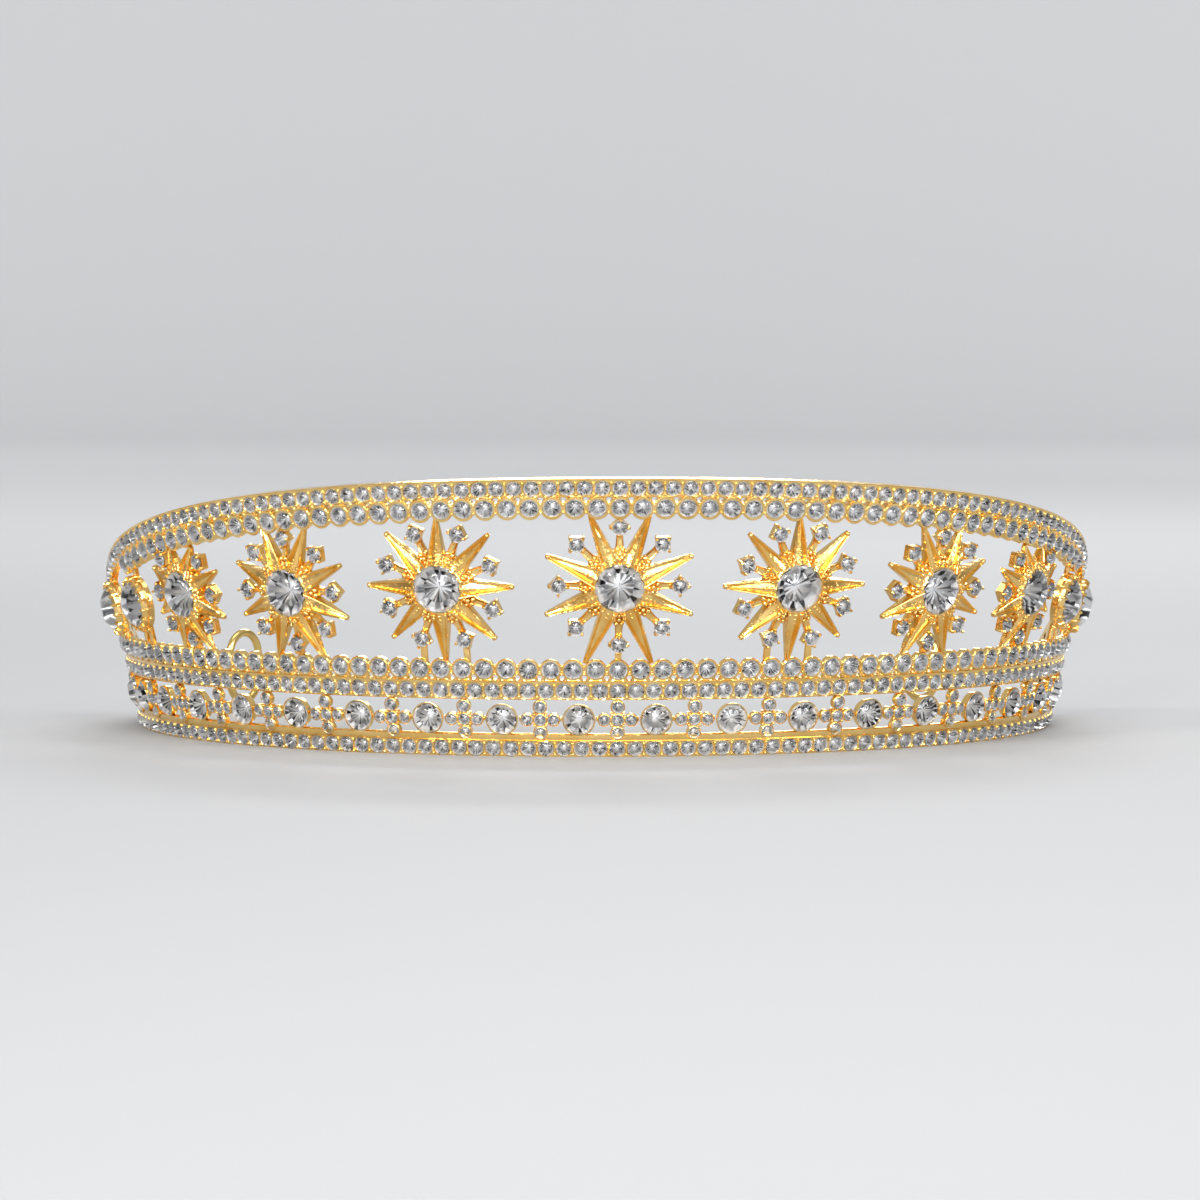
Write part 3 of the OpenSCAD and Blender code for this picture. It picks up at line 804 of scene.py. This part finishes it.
sleeve_metal = Bag()
for side in (-1, 1):
    place = Rigid(math.radians(side * SLEEVE_AT), SLEEVE_H)
    rings = []
    for x in np.linspace(-SLEEVE_HALF, SLEEVE_HALF, 31):
        pinch = 1 - sum(CRIMP_DEPTH * math.exp(-((x - at) / CRIMP_WIDTH) ** 2) for at in CRIMPS)
        end = min(1, 0.82 + (SLEEVE_HALF - abs(x)) * 0.6)
        rings.append([(x, 1.6 * end * pinch * squarish(math.cos(t)),
                       -0.9 + 1.4 * end * squarish(math.sin(t)))
                      for t in np.arange(24) * math.tau / 24])
    sleeve_metal.add(loft(rings), place)
    for x in (-1.25, 1.25):
        sleeve_metal.add(moved(bead(0.55, 0.8, 12), (x, 0.55, -2.1)), place)
sleeve_metal.make_metal("sleeves", gold)


# Arms of springy wire, each bent into an upright ribbon loop

def arm_line(side):
    in_sleeve, bend, margin = 3.4, 0.9, 0.005
    start = math.radians(SLEEVE_AT) - in_sleeve / ARM_R
    end = LOOP_TURN - LOOP_W / 2 / ARM_R - bend / ARM_R
    s, c = math.sin(LOOP_TURN), math.cos(LOOP_TURN)
    r, straight, v0 = LOOP_W / 2 - margin, (LOOP_H - LOOP_W) / 2, ARM_Z - LOOP_Z - bend

    def loop(u, v):
        """A point in the upright plane of the loop, from its middle."""
        return ARM_R * s + u * c, AXIS_Y - ARM_R * c + u * s, LOOP_Z + v

    points = [(ARM_R * math.sin(a), AXIS_Y - ARM_R * math.cos(a), ARM_Z)
              for a in np.linspace(start, end, 60)]
    points += [loop(-r - bend + bend * math.sin(t), v0 + bend * math.cos(t))
               for t in np.linspace(0.25, math.pi / 2, 7)]
    points += [loop(-r, v) for v in np.linspace(v0 - 0.3, -straight, 6)]
    points += [loop(-r * math.cos(t), -straight - r * math.sin(t))
               for t in np.linspace(0.08, math.pi - 0.08, 26)]
    points += [loop(r, v) for v in np.linspace(-straight, straight, 9)]
    points += [loop(r * math.cos(t), straight + r * math.sin(t))
               for t in np.linspace(0.08, math.pi - 0.1, 26)]
    points.append(loop(-r, straight + 0.1))
    return [(x * side, y, z) for x, y, z in points]


for name, side in (("left", -1), ("right", 1)):
    wire = Bag()
    wire.add(tube(arm_line(side), WIRE / 2, 16))
    wire.make("wire_arm_" + name, [wire_gold], ["arm_" + name], sharp=60)

# Studio, in metres: a pale floor that curves up all round into a low wall
FLOOR_R, CURVE_R, WALL_TOP, SIDES = 1.7, 0.5, 0.75, 96
studio = bpy.data.objects.new("studio", bpy.data.meshes.new("studio"))
work = bmesh.new()
profile = [(0.02, 0.0), (0.6, 0.0), (FLOOR_R, 0.0)]
profile += [(FLOOR_R + CURVE_R * math.sin(t), CURVE_R - CURVE_R * math.cos(t))
            for t in np.linspace(0.12, math.pi / 2, 12)]
profile.append((FLOOR_R + CURVE_R, WALL_TOP))
rows = [[work.verts.new(point) for point in circle(r, z, SIDES)] for r, z in profile]
work.faces.new(rows[0])
for a, b in zip(rows, rows[1:]):
    for k in range(SIDES):
        work.faces.new((a[k], a[k - 1], b[k - 1], b[k]))
bmesh.ops.recalc_face_normals(work, faces=work.faces)
work.to_mesh(studio.data)
work.free()
studio.data.polygons.foreach_set("use_smooth", [True] * len(studio.data.polygons))
bpy.context.scene.collection.objects.link(studio)
pale, _, _, shader = new_material("pale_paper")
shader.inputs["Base Color"].default_value = (0.4, 0.405, 0.415, 1)
shader.inputs["Roughness"].default_value = 0.7
studio.data.materials.append(pale)

world = bpy.data.worlds.new("studio_light")
world.use_nodes = True
world.node_tree.nodes["Background"].inputs["Color"].default_value = (0.97, 0.98, 1, 1)
world.node_tree.nodes["Background"].inputs["Strength"].default_value = 0.42
bpy.context.scene.world = world
bpy.context.scene.view_settings.view_transform = "Standard"
bpy.context.scene.view_settings.exposure = 0.3


def softbox(name, at, size, power, aim=(0, 0, 0.02), colour=(1, 1, 1), spread=180):
    light = bpy.data.lights.new(name, "AREA")
    light.spread = math.radians(spread)
    light.shape = "RECTANGLE"
    light.size, light.size_y = size
    light.energy, light.color = power, colour
    lamp = bpy.data.objects.new(name, light)
    lamp.location = at
    lamp.rotation_euler = (Vector(aim) - Vector(at)).to_track_quat("-Z", "Y").to_euler()
    bpy.context.scene.collection.objects.link(lamp)


softbox("key", (-0.95, -1.15, 0.95), (0.4, 0.32), 9, colour=(1, 0.97, 0.92))
softbox("fill", (1.2, -1.0, 0.65), (0.25, 0.5), 5)
softbox("low", (-0.3, -1.15, 0.3), (0.25, 0.1), 0.5, spread=60)
softbox("high", (0.35, -1.3, 1.25), (0.5, 0.24), 4)
softbox("front", (0.1, -1.5, 0.75), (1.8, 0.9), 4, spread=90)
softbox("top", (0.0, 0.0, 1.5), (1.2, 0.6), 4)
softbox("back", (0.2, 0.8, 0.55), (0.6, 0.15), 2.5)
for x in (-0.7, 0.7):
    softbox("wall", (x, 1.1, 0.9), (0.5, 0.5), 7, aim=(x * 0.6, 2.1, 0.15))

# Camera, in metres: the photo's side angle, distance and lens, just above the floor
YAW, LIFT, FAR, LENS, SENSOR = math.radians(2.67), math.radians(3), 1.0, 190.7, 36
aim = Vector((0, 0, 0.0205))
camera = bpy.data.objects.new("camera", bpy.data.cameras.new("camera"))
camera.data.lens, camera.data.sensor_width = LENS, SENSOR
camera.data.clip_start, camera.data.clip_end = 0.01, 20
camera.location = aim + FAR * Vector((-math.sin(YAW) * math.cos(LIFT),
                                      -math.cos(YAW) * math.cos(LIFT), math.sin(LIFT)))
camera.rotation_euler = (aim - camera.location).to_track_quat("-Z", "Y").to_euler()
bpy.context.scene.collection.objects.link(camera)
bpy.context.scene.camera = camera
